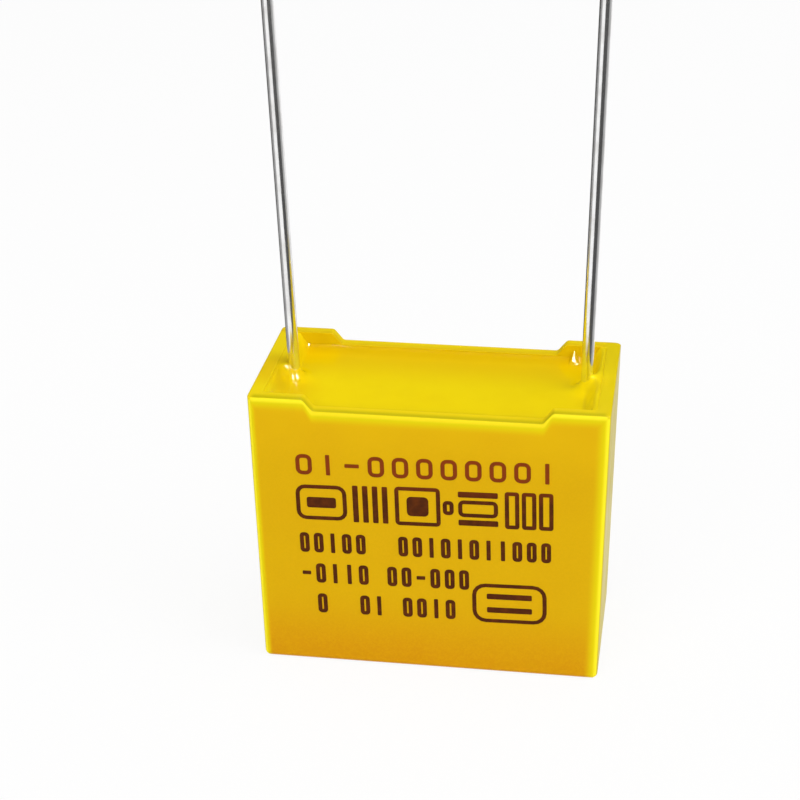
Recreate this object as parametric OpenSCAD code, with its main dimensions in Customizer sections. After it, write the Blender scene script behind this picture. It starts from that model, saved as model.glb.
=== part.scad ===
// Box film capacitor: a flattened roll of metallised film in a moulded plastic box,
// sealed with poured resin, with two wire leads that come out of the resin.
// It stands on its closed end. Lengths are in millimetres and angles in degrees.
// The origin is at the centre of the closed end, +Z runs up along the leads, +X runs
// from the left lead to the right one, and the face that carries the marking is at -Y.

/* [Leads] */
// Distance between the two leads where they leave the resin
lead_pitch = 15; // [10:0.5:27.5]
// Diameter of the lead wire
lead_diameter = 0.6; // [0.5:0.05:0.8]
// Free length of each lead beyond the feet
lead_length = 20; // [6:0.5:30]
// Outward lean of the left lead
lean_left = 1.9; // [0:0.1:5]
// Outward lean of the right lead
lean_right = 1.1; // [0:0.1:5]
// How far the right lead stands behind the middle of the box
right_setback = 0.3; // [0:0.05:1]
// Length of lead below the middle of the winding, where it is welded on
weld_reach = 2; // [0.5:0.1:3.5]
// How far each lead is pressed into the sprayed metal
weld_sink = 0.2; // [0.05:0.05:0.3]

/* [Case] */
// Depth of the box, front to back, across the feet
case_depth = 9; // [7.5:0.1:11]
// Height of the box up to its low rim
rim_height = 14.6; // [13:0.1:20]
// Height of the feet above the low rim
foot_height = 0.6; // [0.3:0.05:1]
// Length of each foot's flat top, from the end of the box
foot_length = 2.8; // [1.5:0.1:4]
// Length of the ramp from a foot down to the low rim
ramp_length = 0.5; // [0.2:0.05:1]
// Thickness of the side walls
wall_thickness = 0.7; // [0.5:0.05:1]
// Thickness of the closed end
floor_thickness = 0.8; // [0.5:0.05:1.5]
// Gap between each lead and the end wall, across the feet
end_gap = 0.5; // [0.4:0.05:1]
// Draft of every side wall, inside and outside
draft_angle = 1; // [0.25:0.25:1.25]
// Radius of the outer edges
outer_radius = 0.3; // [0.1:0.05:0.6]
// Radius of the inner edges
inner_radius = 0.25; // [0.1:0.05:0.5]

/* [Resin] */
// Depth of the resin's flat surface below the low rim
resin_drop = 0.3; // [0.1:0.05:0.6]
// Height that the resin climbs up the walls
wall_climb = 0.25; // [0.1:0.05:0.3]
// Radius of the resin's hollow curve along the walls
wall_curve = 0.6; // [0.4:0.05:0.9]
// Height that the resin climbs up each lead
lead_climb = 0.6; // [0.2:0.05:0.7]
// Radius of the resin's hollow curve around each lead
lead_curve = 0.75; // [0.75:0.05:1.2]

/* [Winding] */
// Resin between the winding and the closed end
resin_below = 0.8; // [0.4:0.1:1.5]
// Resin between the winding and the resin's surface
resin_above = 1.5; // [0.8:0.1:2.5]
// Resin between the winding and the front and back walls, at the winding's lowest line
resin_beside = 0.45; // [0.2:0.05:0.8]
// Width of the slit that the winding mandrel left
core_slit = 0.15; // [0.05:0.05:0.3]
// Thickness of the metal sprayed on each end of the winding
spray_thickness = 0.5; // [0.4:0.05:0.8]
// Bevel round the sprayed metal's outer face
spray_bevel = 0.25; // [0.1:0.05:0.35]

/* [Hidden] */

LEFT = -1;
RIGHT = 1;

// Overshoot of a cutting shape past the face it cuts
over = 1;
// Thickness of the slices that hull() stretches between
slice = 0.01;
// Depth by which the resin's curve round a lead is rooted in the flat surface
root = 0.02;
// Swelling of the wire at its bend
knuckle = 0.01;

lead_radius = lead_diameter / 2;
case_width = lead_pitch + lead_diameter + 2 * (end_gap + wall_thickness);
case_height = rim_height + foot_height;
resin_level = rim_height - resin_drop;

winding_bottom = floor_thickness + resin_below;
winding_top = resin_level - resin_above;
winding_middle = (winding_bottom + winding_top) / 2;
winding_radius = half_size(winding_bottom, wall_thickness).y - resin_beside;
winding_flat = winding_top - winding_bottom - 2 * winding_radius;
spray_face = lead_pitch / 2 - lead_radius + weld_sink;
winding_end = spray_face - spray_thickness;

// Half the box's width and depth at height z, moved inwards by inset
function half_size(z, inset) =
    let (lean = (case_height - z) * tan(draft_angle))
    [case_width / 2 - inset - lean, case_depth / 2 - inset - lean];

// Horizontal run of an arc that has the given radius, starts level and climbs
function arc_run(radius, climb) = sqrt(radius ^ 2 - (radius - climb) ^ 2);

// Foot of a rounded corner: a vertical round whose lower edge is rounded too
module rounded_base(radius) {
    rotate_extrude($fn = 32)
        intersection() {
            translate([0, radius]) circle(radius, $fn = 32);
            square(radius);
        }
}

// Block with drafted sides and rounded edges, open to be cut off flat at the top
module drafted_block(bottom, top, inset, radius) {
    low = half_size(bottom, inset);
    high = half_size(top, inset);
    hull()
        for (x = [-1, 1], y = [-1, 1]) {
            translate([x * (low.x - radius), y * (low.y - radius), bottom])
                rounded_base(radius);
            translate([x * (high.x - radius), y * (high.y - radius), top - slice])
                cylinder(h = slice, r = radius, $fn = 32);
        }
}

// Space that the box encloses, up past its feet
module cavity() {
    drafted_block(floor_thickness, case_height + over, wall_thickness, inner_radius);
}

// Space between the feet, through the front and the back wall
module rim_cut() {
    foot_edge = case_width / 2 - foot_length;
    ramp_end = foot_edge - ramp_length;
    rotate([90, 0, 0])
        linear_extrude(case_depth + 2 * over, center = true)
            polygon([
                [-ramp_end, rim_height], [ramp_end, rim_height],
                [foot_edge, case_height], [foot_edge, case_height + over],
                [-foot_edge, case_height + over], [-foot_edge, case_height]
            ]);
}

// Moulded box, open at the top, with four feet that hold it off a board
module case() {
    color([0.93, 0.71, 0.02])
        difference() {
            drafted_block(0, case_height, 0, outer_radius);
            cavity();
            rim_cut();
        }
}

// Air above the resin: its lower edge is the hollow curve along the walls
module air_above_resin() {
    low = half_size(resin_level, wall_thickness);
    high = half_size(case_height + 2 * over, wall_thickness);
    run = arc_run(wall_curve, wall_climb);
    hull()
        for (x = [-1, 1], y = [-1, 1]) {
            translate([x * (low.x - run), y * (low.y - run), resin_level])
                rounded_base(wall_curve);
            translate([x * (high.x - run), y * (high.y - run), case_height + 2 * over])
                cylinder(h = slice, r = wall_curve, $fn = 32);
        }
}

// Collar of resin drawn up one lead
module lead_collar(side) {
    run = arc_run(lead_curve, lead_climb + root);
    translate([side * lead_pitch / 2, lead_setback(side), resin_level - root])
        rotate_extrude($fn = 64)
            difference() {
                square([lead_radius + run, lead_climb + root]);
                translate([lead_radius + run, lead_curve]) circle(lead_curve, $fn = 64);
            }
}

// Resin poured round the winding: it fills the box and is hollow at its surface
module potting_resin() {
    color([0.93, 0.81, 0.05])
        difference() {
            intersection() {
                union() {
                    difference() {
                        cavity();
                        air_above_resin();
                    }
                    lead_collar(LEFT);
                    lead_collar(RIGHT);
                }
                cavity();
            }
            rim_cut();
            flat_roll(winding_end, 0);
            end_spray(LEFT);
            end_spray(RIGHT);
            lead(LEFT);
            lead(RIGHT);
        }
}

// Flattened roll along X, from -end to end, with round sides made smaller by inset
module flat_roll(end, inset) {
    translate([-end, 0, winding_middle])
        rotate([90, 0, 90])
            linear_extrude(2 * end)
                flat_outline(winding_radius - inset);
}

// Outline of the flattened roll: two half rounds, one above the other, and a web
module flat_outline(radius) {
    for (end = [-1, 1])
        translate([0, end * winding_flat / 2]) circle(radius, $fn = 96);
    square([2 * radius, winding_flat], center = true);
}

// Two metallised films wound together and pressed flat
module film_winding() {
    color([0.80, 0.80, 0.78])
        difference() {
            flat_roll(winding_end, 0);
            translate([0, 0, winding_middle])
                cube([2 * (winding_end + over), core_slit, winding_flat], center = true);
        }
}

// Metal sprayed on one end of the winding, with a groove where its lead is welded
module end_spray(side) {
    color([0.62, 0.63, 0.64])
        difference() {
            translate([side * winding_end, 0, winding_middle])
                rotate([90, 0, side * 90])
                    spray_cap();
            lead(side);
        }
}

// Sprayed layer, lying in the XY plane and built up along +Z, bevelled at its rim
module spray_cap() {
    plain = spray_thickness - spray_bevel;
    outer = winding_radius - spray_bevel;
    linear_extrude(plain) flat_outline(winding_radius);
    for (end = [-1, 1])
        translate([0, end * winding_flat / 2, plain])
            cylinder(h = spray_bevel, r1 = winding_radius, r2 = outer, $fn = 96);
    rotate([90, 0, 0])
        linear_extrude(winding_flat, center = true)
            polygon([
                [-winding_radius, plain], [winding_radius, plain],
                [outer, spray_thickness], [-outer, spray_thickness]
            ]);
}

function lead_setback(side) = side == RIGHT ? right_setback : 0;

function lead_lean(side) = side == RIGHT ? lean_right : lean_left;

// Tinned wire: straight up from its weld, then a slight outward bend level with the feet
module lead(side) {
    weld_end = winding_middle - weld_reach;
    color([0.80, 0.80, 0.81])
        translate([side * lead_pitch / 2, lead_setback(side), case_height]) {
            translate([0, 0, weld_end - case_height])
                cylinder(h = case_height - weld_end, r = lead_radius, $fn = 64);
            sphere(lead_radius + knuckle, $fn = 64);
            rotate([0, side * lead_lean(side), 0])
                cylinder(h = lead_length, r = lead_radius, $fn = 64);
        }
}

case();
potting_resin();
film_winding();
end_spray(LEFT);  // end_spray_left
end_spray(RIGHT);  // end_spray_right
lead(LEFT);  // lead_left
lead(RIGHT);  // lead_right
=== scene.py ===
"""Looks of a box film capacitor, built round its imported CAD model. Lengths are in metres."""

import math
from types import SimpleNamespace

import bmesh
import bpy
from mathutils import Matrix, Vector


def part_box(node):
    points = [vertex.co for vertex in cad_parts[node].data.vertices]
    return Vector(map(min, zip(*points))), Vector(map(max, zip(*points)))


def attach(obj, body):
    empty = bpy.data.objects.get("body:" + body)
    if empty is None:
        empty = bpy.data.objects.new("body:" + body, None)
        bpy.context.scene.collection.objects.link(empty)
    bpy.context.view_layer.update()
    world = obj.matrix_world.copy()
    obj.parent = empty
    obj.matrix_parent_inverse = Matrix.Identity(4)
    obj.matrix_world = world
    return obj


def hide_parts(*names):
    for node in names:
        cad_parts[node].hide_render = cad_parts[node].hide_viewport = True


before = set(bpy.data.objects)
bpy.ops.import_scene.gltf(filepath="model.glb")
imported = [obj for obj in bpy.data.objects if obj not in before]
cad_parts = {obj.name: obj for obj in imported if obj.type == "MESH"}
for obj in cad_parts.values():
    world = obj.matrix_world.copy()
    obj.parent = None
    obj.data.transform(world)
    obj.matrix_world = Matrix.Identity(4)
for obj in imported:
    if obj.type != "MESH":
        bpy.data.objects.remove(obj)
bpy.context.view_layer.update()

MM = 0.001
BODY = "root"
QUARTER_TURN = math.pi / 2

# ---- sizes of the frame that the pieces below are fitted to ----

_, case_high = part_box("case")
HALF_WIDTH, HALF_DEPTH, HEIGHT = case_high
RIM_HEIGHT = 14.6 * MM
WALL = 0.7 * MM
FLOOR = 0.8 * MM
DRAFT = math.tan(math.radians(1))
OUTER_RADIUS = 0.3 * MM
INNER_RADIUS = 0.25 * MM
# length of a foot's top and of its ramp, and the ramp's two ends, from the wall's middle
FOOT_LENGTH = 2.8 * MM
RAMP_LENGTH = 0.5 * MM
RAMP_HIGH = HALF_WIDTH - FOOT_LENGTH
RAMP_LOW = RAMP_HIGH - RAMP_LENGTH
RESIN_DROP = 0.3 * MM
RESIN_LEVEL = RIM_HEIGHT - RESIN_DROP

LEAD_RADIUS = 0.3 * MM
# length past the feet, and height of the lower end, where it is welded on
LEAD_LENGTH = 20 * MM
WELD_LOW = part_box("lead_left")[0].z
HALF_PITCH = 7.5 * MM
RIGHT_SETBACK = 0.3 * MM
# each lead's node, the place of its axis, and its lean outwards
LEADS = {
    "lead_left": (Vector((-HALF_PITCH, 0)), math.radians(-1.9)),
    "lead_right": (Vector((HALF_PITCH, RIGHT_SETBACK)), math.radians(1.1)),
}


def spaced(start, stop, steps):
    """steps + 1 even values from start to stop."""
    return [start + (stop - start) * i / steps for i in range(steps + 1)]


def srgb(red, green, blue):
    """A colour given as it shows on a screen, 0 to 255, as the linear colour of a shader."""
    def linear(value):
        value /= 255
        return value / 12.92 if value <= 0.04045 else ((value + 0.055) / 1.055) ** 2.4
    return (linear(red), linear(green), linear(blue), 1.0)


# ---- meshes ----

# distance under which two points are one
WELD_DISTANCE = 1e-7


def make_object(name, mesh_data, smooth=True):
    """A new piece from (vertices, faces), riding on the part's one body."""
    vertices, faces = mesh_data
    mesh = bpy.data.meshes.new(name)
    mesh.from_pydata(vertices, [], faces)
    work = bmesh.new()
    work.from_mesh(mesh)
    bmesh.ops.remove_doubles(work, verts=work.verts, dist=WELD_DISTANCE)
    bmesh.ops.recalc_face_normals(work, faces=work.faces)
    work.to_mesh(mesh)
    work.free()
    for face in mesh.polygons:
        face.use_smooth = smooth
    piece = bpy.data.objects.new(name, mesh)
    bpy.context.scene.collection.objects.link(piece)
    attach(piece, BODY)
    return piece


def weigh_normals(piece):
    """Keeps the large flat faces flat where they meet small rounded ones."""
    modifier = piece.modifiers.new("flat_faces", "WEIGHTED_NORMAL")
    modifier.keep_sharp = False


def stack_rings(rings):
    """Closed skin through rings of equally many points, with a face over each end."""
    count = len(rings[0])
    vertices = [point for ring in rings for point in ring]
    faces = []
    for row in range(len(rings) - 1):
        low, high = row * count, (row + 1) * count
        for i in range(count):
            j = (i + 1) % count
            faces.append((low + i, low + j, high + j, high + i))
    faces.append(tuple(range(count))[::-1])
    faces.append(tuple(range((len(rings) - 1) * count, len(rings) * count)))
    return vertices, faces


def taper(z):
    """How much further in a drafted wall stands at height z than at the feet."""
    return (HEIGHT - z) * DRAFT


# ---- case ----

# small rounding of the rim, outside and inside, and of both ends of a foot's ramp
RIM_RADIUS = 0.07 * MM
RIM_INNER_RADIUS = 0.03 * MM
RAMP_EASE = 0.12 * MM
# points along half of the low rim, along a foot's top and along a narrow end, in millimetres
RIM_POINTS = (0.0, 1.5, 3.0, 4.5, 5.3)
FOOT_POINTS = (6.6, 7.1, 7.5)
END_POINTS = (-3.0, -1.5, 0.0, 1.5, 3.0)
# heights of the points up the outside and down the inside of the walls, in millimetres
OUTSIDE_POINTS = (1.0, 4.0, 7.0, 10.0, 13.0)
INSIDE_POINTS = (13.0, 9.0, 5.0)
# steps of the upright corners, of the closed end's edges and the ramps, and of the rim
CORNER_STEPS = 8
EDGE_STEPS = 6
RIM_STEPS = 4


def soft_corner(before, corner, after):
    """Points that round a corner of a profile, from the point before it to the one after."""
    points = []
    for t in spaced(0, 1, EDGE_STEPS):
        a, b, c = (1 - t) ** 2, 2 * t * (1 - t), t ** 2
        points.append(tuple(a * p + b * q + c * r for p, q, r in zip(before, corner, after)))
    return points


def rim_profile():
    """(x, height) along half of a long wall's rim, from its middle to its foot."""
    rise = HEIGHT - RIM_HEIGHT
    slope = math.hypot(RAMP_LENGTH, rise)
    run, lift = RAMP_EASE * RAMP_LENGTH / slope, RAMP_EASE * rise / slope
    flat = [(x * MM, RIM_HEIGHT) for x in RIM_POINTS]
    low = soft_corner((RAMP_LOW - RAMP_EASE, RIM_HEIGHT), (RAMP_LOW, RIM_HEIGHT),
                      (RAMP_LOW + run, RIM_HEIGHT + lift))
    high = soft_corner((RAMP_HIGH - run, HEIGHT - lift), (RAMP_HIGH, HEIGHT),
                       (RAMP_HIGH + RAMP_EASE, HEIGHT))
    foot = [(x * MM, HEIGHT) for x in FOOT_POINTS]
    return flat + low + high + foot


def case_stations():
    """Places round the case, seen from above, against the clock: (kind, value, side, rim)."""
    half = rim_profile()
    along_x = [(-x, z) for x, z in half[:0:-1]] + half
    along_y = [y * MM for y in END_POINTS]
    turn = spaced(0, QUARTER_TURN, CORNER_STEPS)

    def corner(sign_x, sign_y, start):
        return [("corner", start + angle, (sign_x, sign_y), HEIGHT) for angle in turn]

    stations = [("x", x, -1, z) for x, z in along_x]
    stations += corner(1, -1, -QUARTER_TURN)
    stations += [("y", y, 1, HEIGHT) for y in along_y]
    stations += corner(1, 1, 0)
    stations += [("x", x, 1, z) for x, z in reversed(along_x)]
    stations += corner(-1, 1, QUARTER_TURN)
    stations += [("y", y, -1, HEIGHT) for y in reversed(along_y)]
    stations += corner(-1, -1, 2 * QUARTER_TURN)
    return stations


def station_point(station, inset, z, radius):
    """A station's point at height z, moved inwards by inset, on corners of that radius."""
    kind, value, side, _ = station
    half_x = HALF_WIDTH - inset - taper(z)
    half_y = HALF_DEPTH - inset - taper(z)
    if kind == "x":
        return (value, side * half_y, z)
    if kind == "y":
        return (side * half_x, value, z)
    return (side[0] * (half_x - radius) + radius * math.cos(value),
            side[1] * (half_y - radius) + radius * math.sin(value), z)


def case_section(rim):
    """(inset, height, corner radius) up the outside, over the rim and down the inside."""
    thinning = (INNER_RADIUS - OUTER_RADIUS) / WALL
    quarter = spaced(0, QUARTER_TURN, EDGE_STEPS)
    rim_quarter = spaced(0, QUARTER_TURN, RIM_STEPS)
    rows = []
    for t in quarter:
        rows.append((OUTER_RADIUS * (1 - math.sin(t)), OUTER_RADIUS * (1 - math.cos(t)),
                     OUTER_RADIUS * math.sin(t)))
    rows += [(0, z * MM, OUTER_RADIUS) for z in OUTSIDE_POINTS]
    for t in rim_quarter:
        inset = RIM_RADIUS * (1 - math.cos(t))
        rows.append((inset, rim - RIM_RADIUS * (1 - math.sin(t)), OUTER_RADIUS + thinning * inset))
    for t in rim_quarter:
        inset = WALL - RIM_INNER_RADIUS * (1 - math.sin(t))
        rows.append((inset, rim - RIM_INNER_RADIUS * (1 - math.cos(t)),
                     OUTER_RADIUS + thinning * inset))
    rows += [(WALL, z * MM, INNER_RADIUS) for z in INSIDE_POINTS]
    for t in quarter:
        rows.append((WALL + INNER_RADIUS * (1 - math.cos(t)),
                     FLOOR + INNER_RADIUS * (1 - math.sin(t)), INNER_RADIUS * math.cos(t)))
    return rows


def build_case():
    """The moulded box, with rounded edges along its rim and ramps."""
    stations = case_stations()
    sections = [case_section(rim) for _, _, _, rim in stations]
    rings = []
    for row in range(len(sections[0])):
        rings.append([station_point(station, *section[row])
                      for station, section in zip(stations, sections)])
    piece = make_object("moulded_case", stack_rings(rings))
    weigh_normals(piece)
    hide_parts("case")
    return piece


# ---- resin ----

# height that the resin climbs the walls and the leads, and how fast that dies away from them
WALL_CLIMB = 0.26 * MM
WALL_REACH = 0.24 * MM
LEAD_CLIMB = 0.6 * MM
LEAD_REACH = 0.28 * MM
# height that it is drawn up the end walls, and how far from them that starts
END_CLIMB = 0.95 * MM
END_REACH = 0.9 * MM
# the most that it may rise, just under the feet, and how softly it stops there
RESIN_CREST = HEIGHT - RIM_INNER_RADIUS
CREST_SOFTNESS = 0.03 * MM
# share by which its climb is uneven, and the length of that unevenness
UNEVEN_SHARE = 0.1
UNEVEN_LENGTH = 1.5 * MM
# height and length of the faint swells all over it
SWELL_HEIGHT = 0.012 * MM
SWELL_LENGTH = 5 * MM

# a tongue of resin on the inner face of the back right foot: its left and right sides, its
# height, and its reach from the wall
TONGUE_LEFT = 6.4 * MM
TONGUE_RIGHT = 6.9 * MM
TONGUE_CLIMB = 0.7 * MM
TONGUE_REACH = 0.5 * MM
# slope of its flat face to the right, and of its left, right and front flanks
TONGUE_FALL = 0.47
LEFT_FLANK = 5.0
RIGHT_FLANK = 2.5
FRONT_FLANK = 4.0

# steps along the wide and the narrow sides of a ring, and round its corners
WIDE_STEPS = 320
NARROW_STEPS = 120
RING_CORNER_STEPS = 10
# how much rounder a ring's corners grow as it moves in, and the most, as a share of its depth
ROUNDER = 0.5
ROUNDEST = 0.9
# heights of the rings under the surface, and how far in they move, as a share of how deep they
# are in the cavity's lower edge
BODY_HEIGHTS = (FLOOR, FLOOR + INNER_RADIUS / 3, FLOOR + INNER_RADIUS, 7 * MM, 13.5 * MM)
LOW_INSET = 0.9
# how far from the walls the surface's rings lie, in millimetres: close at the walls, then wider
SKIN_INSETS = [0.0, 0.02, 0.045, 0.075, 0.11, 0.15, 0.19, 0.24, 0.29, 0.34, 0.4]
SKIN_INSETS += spaced(0.45, 1.65, 24) + spaced(1.8, 3.6, 12)


def wave(x, y, size):
    """A smooth uneven pattern between -1 and 1, with swells about size long."""
    turn = 2 * math.pi / size
    # uneven factors and offsets keep it from lining up with the part or repeating soon
    return 0.5 * (math.sin(turn * x + 0.7) * math.sin(0.8 * turn * y + 0.4)
                  + math.sin(0.37 * turn * (x + y) + 2.0))


def cavity_half(z):
    """Half the cavity's width and depth at height z."""
    return HALF_WIDTH - WALL - taper(z), HALF_DEPTH - WALL - taper(z)


def tongue_height(x, to_wall):
    """Height of the tongue over the level: a flat face that falls from the back wall."""
    fall = TONGUE_CLIMB - to_wall - TONGUE_FALL * (x - TONGUE_LEFT)
    left_flank = LEFT_FLANK * (x - TONGUE_LEFT)
    right_flank = RIGHT_FLANK * (TONGUE_RIGHT - x)
    front_flank = FRONT_FLANK * (TONGUE_REACH - to_wall)
    return max(0.0, min(fall, left_flank, right_flank, front_flank))


def eased(share):
    """share from 0 to 1, with a soft start and a soft stop."""
    share = min(1.0, max(0.0, share))
    return share * share * (3 - 2 * share)


def soft_min(first, second, softness):
    """The lesser of two values, with a soft turn between them."""
    turn = math.log1p(math.exp(-abs(first - second) / softness))
    return min(first, second) - softness * turn


def resin_height(x, y):
    """Height of the resin's surface: level in the middle, drawn up the walls and the leads."""
    half_x, half_y = cavity_half(RESIN_LEVEL)
    to_end, to_wall = half_x - abs(x), half_y - abs(y)
    climb = WALL_CLIMB * math.exp(-to_wall / WALL_REACH)
    climb += END_CLIMB * eased(1 - to_end / END_REACH)
    height = RESIN_LEVEL + climb * (1 - UNEVEN_SHARE * wave(x, y, UNEVEN_LENGTH))
    for base, _ in LEADS.values():
        gap = max(0.0, math.hypot(x - base.x, y - base.y) - LEAD_RADIUS)
        height += LEAD_CLIMB * math.exp(-gap / LEAD_REACH)
    height = max(height, RESIN_LEVEL + tongue_height(x, half_y - y))
    height += SWELL_HEIGHT * wave(x, y, SWELL_LENGTH)
    return soft_min(RESIN_CREST, height, CREST_SOFTNESS)


def resin_ring(inset, half_x, half_y):
    """Points (x, y) round the cavity, moved inwards by inset; its corners grow rounder."""
    width, depth = half_x - inset, half_y - inset
    radius = min(INNER_RADIUS + ROUNDER * inset, ROUNDEST * depth)
    straight_x, straight_y = width - radius, depth - radius
    # each corner, and the side that follows it
    corners = (
        (-QUARTER_TURN, 1, -1, Vector((0, 2 * straight_y)), NARROW_STEPS),
        (0, 1, 1, Vector((-2 * straight_x, 0)), WIDE_STEPS),
        (QUARTER_TURN, -1, 1, Vector((0, -2 * straight_y)), NARROW_STEPS),
        (2 * QUARTER_TURN, -1, -1, Vector((2 * straight_x, 0)), WIDE_STEPS),
    )
    ring = []
    for start, sign_x, sign_y, span, steps in corners:
        centre = Vector((sign_x * straight_x, sign_y * straight_y))
        for angle in spaced(start, start + QUARTER_TURN, RING_CORNER_STEPS):
            corner = centre + radius * Vector((math.cos(angle), math.sin(angle)))
            ring.append(tuple(corner))
        ring += [tuple(corner + span * (i / steps)) for i in range(1, steps)]
    return ring


def body_ring(z):
    """A ring of the resin's body at height z, inside the cavity's rounded lower edge."""
    inset = max(0.0, FLOOR + INNER_RADIUS - z) * LOW_INSET
    return [(x, y, z) for x, y in resin_ring(inset, *cavity_half(z))]


def skin_ring(inset):
    """A ring of the resin's surface, widened with its height as the drafted walls are."""
    half_x, half_y = cavity_half(RESIN_LEVEL + WALL_CLIMB)
    ring = []
    for x, y in resin_ring(inset, half_x, half_y):
        z = resin_height(x, y)
        wide, deep = cavity_half(z)
        ring.append((x * wide / half_x, y * deep / half_y, z))
    return ring


def build_resin():
    """The poured resin: it fills the cavity, and its surface is hollow."""
    rings = [body_ring(z) for z in BODY_HEIGHTS]
    rings += [skin_ring(inset * MM) for inset in SKIN_INSETS]
    piece = make_object("poured_resin", stack_rings(rings))
    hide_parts("potting_resin")
    return piece


# ---- leads ----

# radius of the leads' bend, and the small bevel of their cut ends
LEAD_BEND = 8 * MM
LEAD_BEVEL = 0.04 * MM
# points of a lead: heights under its bend, and distances past it, in millimetres
UNDER_POINTS = (10, 14)
FREE_POINTS = (1, 5, 10, 15, 19, 19.8)
BEND_STEPS = 6
WIRE_SIDES = 48


def lead_path(lean):
    """(x, height, tilt) along a lead, from its weld to near its tip, from its axis in the resin."""
    half_bend = LEAD_BEND * math.tan(abs(lean) / 2)
    points = [(0.0, z, 0.0) for z in (WELD_LOW, *(height * MM for height in UNDER_POINTS))]
    side = math.copysign(1, lean)
    for angle in spaced(0, abs(lean), BEND_STEPS):
        points.append((side * LEAD_BEND * (1 - math.cos(angle)),
                       HEIGHT - half_bend + LEAD_BEND * math.sin(angle), side * angle))
    points += [past_bend(along * MM, lean) for along in FREE_POINTS]
    return points


def past_bend(along, lean):
    """(x, height, tilt) of a lead's axis, along its straight free length."""
    return math.sin(lean) * along, HEIGHT + math.cos(lean) * along, lean


def build_lead(node, base, lean):
    """One tinned wire, with its slight bend and its cut end."""
    rows = [(*point, LEAD_RADIUS) for point in lead_path(lean)]
    rows.append((*past_bend(LEAD_LENGTH - LEAD_BEVEL, lean), LEAD_RADIUS))
    rows.append((*past_bend(LEAD_LENGTH, lean), LEAD_RADIUS - LEAD_BEVEL))
    rings = []
    for x, z, tilt, radius in rows:
        across = Vector((math.cos(tilt), 0, -math.sin(tilt)))
        centre = Vector((base.x + x, base.y, z))
        rings.append([tuple(centre + radius * (math.cos(turn) * across
                                               + math.sin(turn) * Vector((0, 1, 0))))
                      for turn in spaced(0, 4 * QUARTER_TURN, WIRE_SIDES)[:-1]])
    piece = make_object(node.replace("lead", "wire"), stack_rings(rings))
    weigh_normals(piece)
    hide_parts(node)
    return piece


# ---- marking on the front face: rings, bars and frames that stand for its print ----

# height of the ink above the plastic, and how far it goes below its surface
INK_PROUD = 0.01 * MM
INK_SUNK = 0.01 * MM
# the print is turned a little on the face, round this place in millimetres
PRINT_TURN = math.radians(1.2)
PRINT_MIDDLE = (0.0, 7.6)
# width of its strokes and bars, height of its figures and of its row of marks, in millimetres
STROKE = 0.21
BAR = 0.32
FIGURE_HEIGHT = 1.15
MARKS_HEIGHT = 9.6
# shares of a figure's pitch that a ring and a dash take up
RING_SHARE = 0.68
DASH_SHARE = 0.6
# roundness of a shape's corners, as a share of its lesser side; the least radius of a hole
BAR_ROUNDNESS = 0.2
RING_ROUNDNESS = 0.4
LEAST_RADIUS = 0.02
PANEL_CORNER_STEPS = 4


def panel(x, z, width, height, radius):
    """The outline of a rectangle with rounded corners, round (x, z), in millimetres."""
    a, b = width / 2 - radius, height / 2 - radius
    outline = []
    for quarter, (side_x, side_z) in enumerate(((1, 1), (-1, 1), (-1, -1), (1, -1))):
        for angle in spaced(0, QUARTER_TURN, PANEL_CORNER_STEPS):
            heading = angle + quarter * QUARTER_TURN
            outline.append((x + side_x * a + radius * math.cos(heading),
                            z + side_z * b + radius * math.sin(heading)))
    return outline


def filled(x, z, width, height):
    """A filled shape: its outline, and no hole."""
    return panel(x, z, width, height, BAR_ROUNDNESS * min(width, height)), None


def framed(x, z, width, height, roundness=RING_ROUNDNESS):
    """A shape drawn as a line: its outline and its hole."""
    radius = roundness * min(width, height)
    inner_radius = max(LEAST_RADIUS, radius - STROKE)
    return (panel(x, z, width, height, radius),
            panel(x, z, width - 2 * STROKE, height - 2 * STROKE, inner_radius))


def figures(pattern, left, z, pitch):
    """A row of plain figures: o is a ring, i a bar, - a dash, and a space is left bare."""
    shapes = []
    for index, figure in enumerate(pattern):
        x = left + pitch * (index + 0.5)
        if figure == "o":
            shapes.append(framed(x, z, RING_SHARE * pitch, FIGURE_HEIGHT))
        elif figure == "i":
            shapes.append(filled(x, z, STROKE, FIGURE_HEIGHT))
        elif figure == "-":
            shapes.append(filled(x, z, DASH_SHARE * pitch, STROKE))
    return shapes


def print_shapes():
    """Every shape of the marking, in millimetres on the front face."""
    row = MARKS_HEIGHT
    shapes = figures("oi-oooooooi", left=-6.75, z=11.75, pitch=1.22)
    shapes += figures("ooioo  ooioioiiooo", left=-6.7, z=7.25, pitch=0.725)
    shapes += figures("-oiio oo-ooo", left=-6.7, z=5.45, pitch=0.74)
    shapes += figures(" o  oi ooio", left=-6.7, z=3.65, pitch=0.74)
    # the row of marks: a frame with a bar, four bars, a square in a square, and a small ring
    shapes += [framed(-5.35, row, 2.6, 2.0, 0.25), filled(-5.35, row, 1.5, 0.6)]
    shapes += [filled(x, row, 0.28, 2.1) for x in (-3.6, -3.1, -2.6, -2.1)]
    shapes += [framed(-0.45, row, 2.3, 2.2, 0.1), filled(-0.45, row, 1.1, 1.1)]
    shapes += [framed(1.1, row, 0.55, 0.8)]
    # and a frame between two bars, and three narrow frames
    shapes += [framed(2.6, row, 2.0, 0.95, 0.3)]
    shapes += [filled(2.6, row + side * 0.8, 2.0, BAR) for side in (-1, 1)]
    shapes += [framed(x, row, 0.72, 2.1, 0.2) for x in (4.3, 5.15, 6.0)]
    # the frame with two bars in the lower corner
    shapes += [framed(4.1, 4.15, 3.8, 2.3, 0.3)]
    shapes += [filled(4.1, 4.15 + side * 0.4, 2.3, BAR) for side in (-1, 1)]
    return shapes


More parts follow.
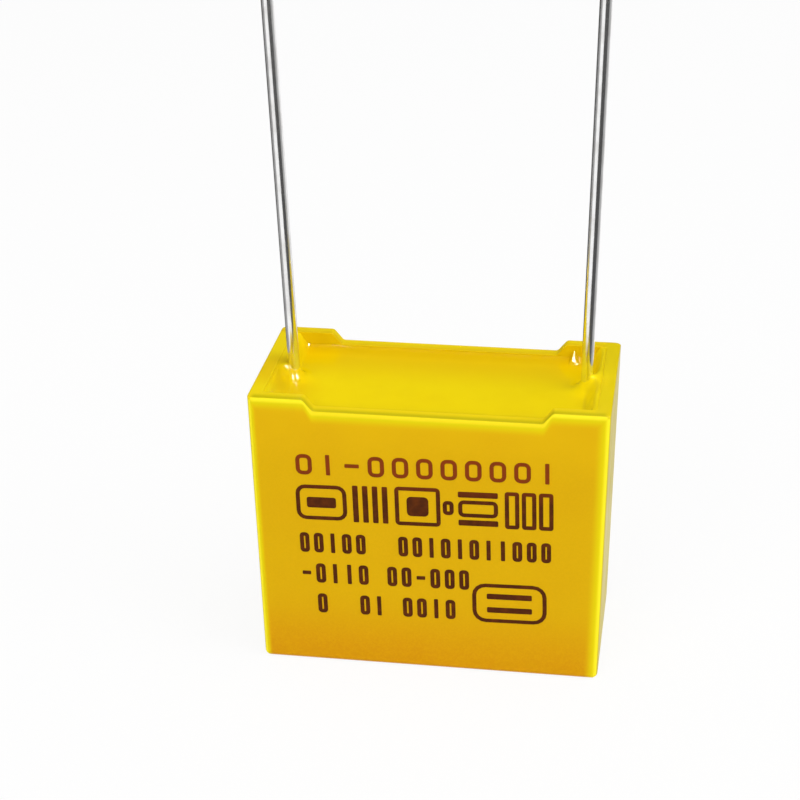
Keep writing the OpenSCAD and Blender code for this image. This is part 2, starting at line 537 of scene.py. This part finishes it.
def on_front(point, proud):
    """A point of the marking, turned with the print and set on the drafted front face."""
    mid_x, mid_z = PRINT_MIDDLE
    u, v = point[0] - mid_x, point[1] - mid_z
    x = mid_x + u * math.cos(PRINT_TURN) - v * math.sin(PRINT_TURN)
    z = mid_z + u * math.sin(PRINT_TURN) + v * math.cos(PRINT_TURN)
    return (x * MM, taper(z * MM) - HALF_DEPTH - proud, z * MM)


def build_marking():
    """The ink: thin flat shapes that stand a hair proud of the plastic."""
    vertices, faces = [], []

    def add_loop(outline, proud):
        vertices.extend(on_front(point, proud) for point in outline)
        return list(range(len(vertices) - len(outline), len(vertices)))

    def add_band(first, second):
        for i in range(len(first)):
            j = (i + 1) % len(first)
            faces.append((first[i], first[j], second[j], second[i]))

    for outline, hole in print_shapes():
        top, bottom = add_loop(outline, INK_PROUD), add_loop(outline, -INK_SUNK)
        add_band(top, bottom)
        if hole is None:
            faces.extend((tuple(top), tuple(reversed(bottom))))
            continue
        hole_top, hole_bottom = add_loop(hole, INK_PROUD), add_loop(hole, -INK_SUNK)
        add_band(hole_bottom, hole_top)
        add_band(hole_top, top)
        add_band(bottom, hole_bottom)
    return make_object("plain_marking", (vertices, faces), smooth=False)


# ---- materials ----

def bare_tree(holder, output_kind):
    """The node tree of a material or world, emptied, and its new output."""
    holder.use_nodes = True
    tree = holder.node_tree
    tree.nodes.clear()
    return tree, tree.nodes.new(output_kind)


class Shader:
    """A material's nodes, with short calls for the ones used here."""

    def __init__(self, name):
        self.material = bpy.data.materials.new(name)
        self.tree, output = bare_tree(self.material, "ShaderNodeOutputMaterial")
        self.surface = self.tree.nodes.new("ShaderNodeBsdfPrincipled")
        self.link(self.surface.outputs["BSDF"], output.inputs["Surface"])
        self.place = self.tree.nodes.new("ShaderNodeTexCoord").outputs["Object"]

    def link(self, source, target):
        """Joins an output to an input, or sets the input if source is a plain value."""
        if hasattr(source, "is_output"):
            self.tree.links.new(source, target)
        else:
            target.default_value = source

    def set(self, **values):
        """Sets the surface's inputs by name, with _ for a space."""
        for name, value in values.items():
            self.link(value, self.surface.inputs[name.replace("_", " ")])

    def math(self, operation, *values):
        """The result of a Math node."""
        node = self.tree.nodes.new("ShaderNodeMath")
        node.operation = operation
        for i, value in enumerate(values):
            self.link(value, node.inputs[i])
        return node.outputs[0]

    def less(self, first, second):
        """first less second."""
        return self.math("SUBTRACT", first, second)

    def times(self, first, second):
        """first times second."""
        return self.math("MULTIPLY", first, second)

    def parts(self):
        """x, y and z of the place on the surface."""
        node = self.tree.nodes.new("ShaderNodeSeparateXYZ")
        self.link(self.place, node.inputs[0])
        return node.outputs

    def distance(self, x, y, centre):
        """How far the place on the surface is from a centre, seen from above."""
        squares = [self.math("POWER", self.less(way, middle), 2.0)
                   for way, middle in zip((x, y), centre)]
        return self.math("SQRT", self.math("ADD", *squares))

    def ramp(self, value, start, stop, low=0.0, high=1.0):
        """value taken from the range start to stop to the range low to high, eased."""
        node = self.tree.nodes.new("ShaderNodeMapRange")
        node.interpolation_type = "SMOOTHSTEP"
        for name, given in (("Value", value), ("From Min", start), ("From Max", stop),
                            ("To Min", low), ("To Max", high)):
            self.link(given, node.inputs[name])
        return node.outputs["Result"]

    def mix(self, share, first, second):
        """The colour first, with that share of second."""
        node = self.tree.nodes.new("ShaderNodeMix")
        node.data_type = "RGBA"
        colour_a, colour_b = (i for i in node.inputs if i.name in "AB" and i.type == "RGBA")
        self.link(share, node.inputs["Factor"])
        self.link(first, colour_a)
        self.link(second, colour_b)
        return next(o for o in node.outputs if o.type == "RGBA")

    def fade(self, value, start, stop, first, second, share=1.0):
        """The colour first where value is at start, and that share of second at stop."""
        return self.mix(self.ramp(value, start, stop, 0.0, share), first, second)

    def noise(self, size, detail=2.0, stretch=(1, 1, 1)):
        """Noise whose features are about size across; stretch lengthens them along an axis."""
        mapping = self.tree.nodes.new("ShaderNodeMapping")
        mapping.inputs["Scale"].default_value = [1 / (size * s) for s in stretch]
        self.link(self.place, mapping.inputs["Vector"])
        node = self.tree.nodes.new("ShaderNodeTexNoise")
        node.inputs["Scale"].default_value = 1.0
        node.inputs["Detail"].default_value = detail
        self.link(mapping.outputs[0], node.inputs["Vector"])
        return node.outputs["Fac"]

    def bump(self, height, strength, depth):
        """Roughens the surface by height, up to depth."""
        node = self.tree.nodes.new("ShaderNodeBump")
        node.inputs["Strength"].default_value = strength
        node.inputs["Distance"].default_value = depth
        self.link(height, node.inputs["Height"])
        self.link(node.outputs[0], self.surface.inputs["Normal"])


# painted shadows of the leads: places in front of them where the yellow is deeper, how far they
# reach, and how much
PAINTED_SHADOWS = (((-8.0 * MM, -1.0 * MM), 2.5 * MM, 0.9), ((7.9 * MM, -0.7 * MM), 1.3 * MM, 0.2))
# share of such a painted shadow's reach within which it is deepest
SHADOW_CORE = 0.3


def paint_lead_shadows(shader, x, y, colour, shadow_colour):
    """colour, with the deeper shadow colour painted at each of the patches of painted shadow by the
    leads.
    """
    for centre, reach, share in PAINTED_SHADOWS:
        away = shader.distance(x, y, centre)
        colour = shader.fade(away, reach, SHADOW_CORE * reach, colour, shadow_colour, share)
    return colour


def case_places(shader):
    """The place on the surface, as x, y, z and what follows from them.

    across is x without its sign, and rim the height of the rim there. to_end, to_side and
    below_rim are how far it lies from the nearest narrow end, outer face and rim.
    """
    x, y, z = shader.parts()
    across, deep = shader.math("ABSOLUTE", x), shader.math("ABSOLUTE", y)
    lean = shader.times(shader.less(HEIGHT, z), DRAFT)
    to_end = shader.less(shader.less(HALF_WIDTH, across), lean)
    to_face = shader.less(shader.less(HALF_DEPTH, deep), lean)
    rim = shader.ramp(across, RAMP_LOW, RAMP_HIGH, RIM_HEIGHT, HEIGHT)
    return SimpleNamespace(x=x, y=y, z=z, across=across, to_end=to_end, rim=rim,
                           to_side=shader.math("MINIMUM", to_end, to_face),
                           below_rim=shader.less(rim, z))


def case_faces(shader, at, mottle, grain):
    """The faces' yellow: deepest at the closed end, which is painted shade, lighter near the top,
    which is painted light, and a little mottled and grainy.
    """
    # painted shade towards the bottom, and painted light near the top
    colour = shader.fade(at.z, 0.3 * MM, 4.5 * MM, srgb(211, 148, 4), srgb(217, 171, 3))
    colour = shader.fade(at.z, 11 * MM, 14 * MM, colour, srgb(224, 178, 4))
    colour = shader.fade(mottle, 0.35, 0.75, colour, srgb(214, 162, 4), 0.3)
    return shader.fade(grain, 0.3, 0.8, colour, srgb(228, 180, 6), 0.3)


def case_edges(shader, at, colour):
    """Paints shade on the narrow ends, which makes them duller, and paints light on the other
    faces: lemon along the corners and the rim.
    """
    # painted shade: the narrow ends get a duller, more olive yellow
    on_end = shader.ramp(at.to_end, 0.08 * MM, 0.03 * MM)
    colour = shader.mix(on_end, colour, srgb(206, 185, 15))
    # the painted light fades faster beside the left corners than beside the right ones
    steepness = shader.ramp(at.x, MM, -MM, 1.0, 2.0)
    start = shader.ramp(at.x, MM, -MM, 0.0, 0.18 * MM)
    to_corner = shader.less(shader.times(at.to_end, steepness), start)
    to_edge = shader.math("MINIMUM", to_corner, at.below_rim)
    off_end = shader.less(1.0, on_end)
    # painted light along the edges: a soft pale band, and a clear lemon line nearest to them
    soft_edge_light = shader.times(off_end, shader.ramp(to_edge, 0.75 * MM, 0.2 * MM))
    clear_edge_light = shader.times(off_end, shader.ramp(to_edge, 0.3 * MM, 0.1 * MM))
    edge_light_colour = shader.fade(at.rim, RIM_HEIGHT, HEIGHT, srgb(250, 226, 34), srgb(255, 238, 40))
    colour = shader.mix(soft_edge_light, colour, srgb(229, 210, 6))
    return shader.mix(clear_edge_light, colour, edge_light_colour)


def case_rim(shader, at, colour):
    """Gives the rim's top its colours, with painted shade: olive at the front and deeper at the
    back, and painted shadows by the leads.
    """
    # painted shade: the back rim is deeper towards its inner edge
    top = shader.fade(at.y, 3.9 * MM, 4.3 * MM, srgb(228, 194, 8), srgb(238, 210, 12))
    top = shader.fade(at.y, 3.8 * MM, 3.7 * MM, top, srgb(240, 213, 12))
    top = shader.fade(at.x, 8.0 * MM, 8.4 * MM, top, srgb(228, 203, 8))
    # painted shade: an olive band along the front rim
    front_rim_shade = shader.times(shader.ramp(at.y, -3.9 * MM, -4.42 * MM),
                         shader.ramp(at.across, 8.9 * MM, 8.6 * MM))
    top = shader.mix(front_rim_shade, top, srgb(198, 181, 1))
    # painted shadows by the leads, on the rim
    top = paint_lead_shadows(shader, at.x, at.y, top, srgb(230, 193, 5))
    on_top = shader.times(shader.ramp(at.to_side, 0.01 * MM, 0.05 * MM),
                          shader.ramp(at.below_rim, 0.2 * MM, 0.1 * MM))
    return shader.mix(on_top, colour, top)


def case_inside(shader, at, colour):
    """Gives the walls' inner faces their yellow, with painted light that makes them paler near the
    narrow ends.
    """
    # painted light: paler inner faces near the narrow ends
    inner = shader.fade(at.to_end, 1.6 * WALL, 1.1 * WALL, srgb(230, 194, 4), srgb(236, 210, 12))
    return shader.fade(at.to_side, 0.93 * WALL, 0.99 * WALL, colour, inner)


def case_material():
    """Satin yellow plastic, glossier on its narrow ends."""
    shader = Shader("yellow_case_plastic")
    at = case_places(shader)
    mottle = shader.noise(3.5 * MM, 3.0)
    grain = shader.noise(0.11 * MM, 2.0)
    colour = case_faces(shader, at, mottle, grain)
    colour = case_edges(shader, at, colour)
    colour = case_rim(shader, at, colour)
    colour = case_inside(shader, at, colour)
    shader.set(Base_Color=colour, Roughness=shader.ramp(mottle, 0.3, 0.7, 0.34, 0.46),
               Specular_IOR_Level=shader.ramp(at.to_end, 0.04 * MM, 0.01 * MM, 0.06, 0.4))
    shader.bump(grain, 0.25, 0.012 * MM)
    return shader.material


def resin_material():
    """Glossy cast resin, with painted shade that deepens it at the back, painted shadows by the
    leads, and painted light that makes it lemon at the ends.
    """
    shader = Shader("yellow_resin")
    x, y, _ = shader.parts()
    mottle = shader.noise(2.2 * MM, 3.0)
    fine = shader.noise(0.4 * MM, 2.0)
    half_x, half_y = cavity_half(RESIN_LEVEL)
    to_end = shader.less(half_x, shader.math("ABSOLUTE", x))
    # painted shade: deeper towards the back
    colour = shader.fade(y, -0.5 * MM, 3.4 * MM, srgb(248, 220, 3), srgb(241, 199, 2))
    colour = shader.fade(mottle, 0.4, 0.75, colour, srgb(240, 207, 2), 0.3)
    # painted shade: deepest along the back wall
    colour = shader.fade(y, half_y - 0.9 * MM, half_y, colour, srgb(222, 180, 2))
    # painted light: lemon near the ends
    colour = shader.fade(to_end, 1.0 * MM, 0.3 * MM, colour, srgb(244, 217, 12))
    # painted shadows by the leads, on the resin
    colour = paint_lead_shadows(shader, x, y, colour, srgb(235, 198, 2))
    shader.set(Base_Color=colour, Roughness=shader.ramp(fine, 0.3, 0.7, 0.07, 0.12),
               Specular_IOR_Level=0.4)
    shader.bump(shader.noise(2.2 * MM, 0.0), 0.3, 0.02 * MM)
    return shader.material


def wire_material():
    """Tinned wire: bright, with fine draw marks along it and a faint bloom."""
    shader = Shader("tinned_wire")
    marks = shader.noise(0.05 * MM, 2.0, (1, 1, 60))
    bloom = shader.noise(0.9 * MM, 3.0)
    colour = shader.fade(bloom, 0.35, 0.7, srgb(248, 248, 248), srgb(234, 233, 232))
    shader.set(Base_Color=colour, Metallic=1.0,
               Roughness=shader.ramp(bloom, 0.3, 0.7, 0.15, 0.22))
    shader.bump(marks, 0.3, 0.004 * MM)
    return shader.material


def ink_material():
    """Dark brown print, redder in its top row and in patches."""
    shader = Shader("brown_ink")
    patch = shader.noise(0.35 * MM, 3.0)
    height = shader.parts()[2]
    colour = shader.fade(height, 10 * MM, 11.5 * MM, srgb(76, 32, 0), srgb(134, 54, 4))
    colour = shader.fade(patch, 0.35, 0.75, colour, srgb(112, 52, 2), 0.45)
    shader.set(Base_Color=colour, Roughness=0.5, Specular_IOR_Level=0.1)
    shader.bump(patch, 0.2, 0.004 * MM)
    return shader.material


def film_material():
    """Metallised film, silvery through its clear outer turns."""
    shader = Shader("metallised_film")
    streak = shader.noise(0.12 * MM, 2.0, (60, 1, 1))
    colour = shader.mix(streak, srgb(188, 190, 190), srgb(224, 224, 220))
    shader.set(Base_Color=colour, Metallic=0.7, Roughness=0.28)
    shader.bump(streak, 0.3, 0.006 * MM)
    return shader.material


def spray_material():
    """Sprayed zinc: grey and grainy."""
    shader = Shader("sprayed_metal")
    grit = shader.noise(0.1 * MM, 4.0)
    colour = shader.mix(grit, srgb(128, 129, 131), srgb(190, 190, 190))
    shader.set(Base_Color=colour, Metallic=0.8, Roughness=shader.ramp(grit, 0.3, 0.7, 0.5, 0.8))
    shader.bump(grit, 0.8, 0.03 * MM)
    return shader.material


def dress(piece, material):
    """Gives a piece its one material."""
    piece.data.materials.clear()
    piece.data.materials.append(material)


# ---- stage ----

# light from all round, against that of a white sheet in full light
AMBIENT = 0.4
FLOOR_REACH = 2.0
# share of plain white in what the floor shows; the rest is its lit and shaded surface
FLOOR_WHITE = 0.9
# height at which the low cards lie, and how far they reach from the leads
CARD_HEIGHT = 1 * MM
CARD_REACH = 350 * MM
# the place on the part that the lamps are turned to
LIT_PLACE = Vector((0, 0, 8 * MM))


def white_where_seen(tree, share_of_white):
    """A factor for white: 0 for plain light, more for the camera, reflections and glass."""
    path = tree.nodes.new("ShaderNodeLightPath")
    seen = path.outputs["Is Camera Ray"]
    for name in ("Is Glossy Ray", "Is Transmission Ray"):
        either = tree.nodes.new("ShaderNodeMath")
        either.operation = "MAXIMUM"
        tree.links.new(seen, either.inputs[0])
        tree.links.new(path.outputs[name], either.inputs[1])
        seen = either.outputs[0]
    share = tree.nodes.new("ShaderNodeMath")
    share.operation = "MULTIPLY"
    tree.links.new(seen, share.inputs[0])
    share.inputs[1].default_value = share_of_white
    return share.outputs[0]


def mix_with_white(tree, plain, white, share_of_white, output):
    """Ends a node tree with the plain shader, and the white one where it is seen."""
    mixer = tree.nodes.new("ShaderNodeMixShader")
    tree.links.new(white_where_seen(tree, share_of_white), mixer.inputs["Fac"])
    tree.links.new(plain.outputs[0], mixer.inputs[1])
    tree.links.new(white.outputs[0], mixer.inputs[2])
    tree.links.new(mixer.outputs[0], output.inputs["Surface"])


def glow(tree, shade):
    """A shader that shows as that shade whatever the light; 1 is white."""
    node = tree.nodes.new("ShaderNodeEmission")
    node.inputs["Color"].default_value = (shade, shade, shade, 1)
    node.inputs["Strength"].default_value = 1.0
    return node


def build_world():
    """White where it is seen, with weaker white light all round."""
    world = bpy.data.worlds.new("studio")
    bpy.context.scene.world = world
    tree, output = bare_tree(world, "ShaderNodeOutputWorld")
    backgrounds = []
    for strength in (AMBIENT, 1.0):
        background = tree.nodes.new("ShaderNodeBackground")
        background.inputs["Color"].default_value = (1, 1, 1, 1)
        background.inputs["Strength"].default_value = strength
        backgrounds.append(background)
    mix_with_white(tree, *backgrounds, 1.0, output)


def add_plane(name, corners, faces=((0, 1, 2, 3),)):
    """A stage piece of flat faces, or of one through four corners."""
    mesh = bpy.data.meshes.new(name)
    mesh.from_pydata(corners, [], faces)
    plane = bpy.data.objects.new(name, mesh)
    bpy.context.scene.collection.objects.link(plane)
    return plane


def rectangle(left, right, front, back, z):
    """The four corners of a level rectangle."""
    return [(left, front, z), (right, front, z), (right, back, z), (left, back, z)]


def build_floor():
    """A pale floor that shows near white and keeps the part's soft shadow."""
    floor = add_plane("floor", rectangle(-FLOOR_REACH, FLOOR_REACH, -FLOOR_REACH, FLOOR_REACH, 0))
    material = bpy.data.materials.new("pale_floor")
    tree, output = bare_tree(material, "ShaderNodeOutputMaterial")
    matte = tree.nodes.new("ShaderNodeBsdfDiffuse")
    matte.inputs["Color"].default_value = (0.9, 0.9, 0.9, 1)
    mix_with_white(tree, matte, glow(tree, 1.0), FLOOR_WHITE, output)
    floor.data.materials.append(material)


def add_card(name, corners, shade, faces=((0, 1, 2, 3),)):
    """A studio card that only reflections see; it gives the wires and the resin their contrast."""
    card = add_plane(name, corners, faces)
    card.visible_camera = False
    card.visible_diffuse = False
    card.visible_shadow = False
    card.visible_transmission = False
    material = bpy.data.materials.new(name)
    tree, output = bare_tree(material, "ShaderNodeOutputMaterial")
    tree.links.new(glow(tree, shade).outputs[0], output.inputs["Surface"])
    card.data.materials.append(material)


def add_tent(name, half_width, front, back, height, shade):
    """Four walls and a ceiling of card round the stage."""
    corners = [corner for z in (0, height)
               for corner in rectangle(-half_width, half_width, front, back, z)]
    walls = [(i, (i + 1) % 4, (i + 1) % 4 + 4, i + 4) for i in range(4)]
    add_card(name, corners, shade, walls + [(4, 5, 6, 7)])


def add_low_card(name, lead, headings, near, shade):
    """A low card between two headings from a lead, 0 to the front and 90 to the right."""
    start, stop = [Vector((math.sin(math.radians(h)), -math.cos(math.radians(h))))
                   for h in headings]
    base = LEADS[lead][0]
    corners = [base + near * start, base + CARD_REACH * start,
               base + CARD_REACH * stop, base + near * stop]
    add_card(name, [(point.x, point.y, CARD_HEIGHT) for point in corners], shade)


def add_strip_card(name, start, stop, width, shade):
    """A narrow card from start to stop that faces the part."""
    start, stop = Vector(start), Vector(stop)
    side = (stop - start).cross(start + stop).normalized() * width / 2
    add_card(name, [start - side, start + side, stop + side, stop - side], shade)


def add_lamp(name, position, width, length, level):
    """A soft lamp turned to the part; at level 1 it lights a white sheet facing it as white."""
    lamp = bpy.data.lights.new(name, "AREA")
    lamp.shape = "RECTANGLE"
    lamp.size = width
    lamp.size_y = length
    aim = LIT_PLACE - Vector(position)
    lamp.energy = level * math.pi ** 2 * aim.length ** 2
    holder = bpy.data.objects.new(name, lamp)
    # reflections show the cards instead
    holder.visible_glossy = False
    holder.location = position
    holder.rotation_euler = aim.to_track_quat("-Z", "Y").to_euler()
    bpy.context.scene.collection.objects.link(holder)


def build_camera():
    """Looks down on the front and a little on the right end, as the photograph does."""
    azimuth, elevation, roll = math.radians(9.1), math.radians(25.35), math.radians(-0.8)
    target = Vector((-2.01, 0.0, 13.34)) * MM
    distance = 102.3 * MM
    back = Vector((math.sin(azimuth) * math.cos(elevation),
                   -math.cos(azimuth) * math.cos(elevation), math.sin(elevation)))
    level = Vector((0, 0, 1)).cross(back).normalized()
    upright = back.cross(level)
    right = math.cos(roll) * level + math.sin(roll) * upright
    up = math.cos(roll) * upright - math.sin(roll) * level
    data = bpy.data.cameras.new("camera")
    data.lens = 89.7
    data.sensor_width = 36.0
    data.clip_start = 0.005
    data.clip_end = 10.0
    camera = bpy.data.objects.new("camera", data)
    pose = Matrix((right, up, back)).transposed().to_4x4()
    pose.translation = target + back * distance
    camera.matrix_world = pose
    bpy.context.scene.collection.objects.link(camera)
    bpy.context.scene.camera = camera


def build_lamps():
    """Soft light from above, from the front left and from the right."""
    add_lamp("top_lamp", (0.06, -0.10, 0.45), width=0.45, length=0.40, level=0.53)
    add_lamp("front_lamp", (-0.20, -0.45, 0.26), width=0.30, length=0.30, level=0.275)
    add_lamp("right_lamp", (0.42, -0.14, 0.22), width=0.35, length=0.30, level=0.3)


def build_cards():
    """Cards for the stripes in the wires, a dark tent for the resin, a strip for its glints."""
    add_low_card("dark_card", "lead_right", (0, 72), near=25 * MM, shade=0.08)
    add_low_card("grey_card", "lead_right", (72, 110), near=25 * MM, shade=0.42)
    add_low_card("pale_card", "lead_right", (110, 135), near=15 * MM, shade=0.62)
    add_low_card("left_card", "lead_left", (-54, -135), near=15 * MM, shade=0.36)
    add_card("back_card", rectangle(-350 * MM, 6 * MM, 10 * MM, 240 * MM, CARD_HEIGHT), 0.03)
    add_tent("dark_tent", half_width=0.5, front=-0.8, back=0.25, height=0.6, shade=0.04)
    add_strip_card("glint_card", (0.25, -0.225, 0.37), (0.13, 0.025, 0.48), width=0.09, shade=60)


# ---- the scene ----

build_world()
build_floor()
build_lamps()
build_cards()
build_camera()
bpy.context.scene.view_settings.view_transform = "Standard"

dress(build_case(), case_material())
dress(build_resin(), resin_material())
wire = wire_material()
for node, (base, lean) in LEADS.items():
    dress(build_lead(node, base, lean), wire)
dress(build_marking(), ink_material())
dress(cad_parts["film_winding"], film_material())
spray = spray_material()
for node in ("end_spray_left", "end_spray_right"):
    dress(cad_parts[node], spray)
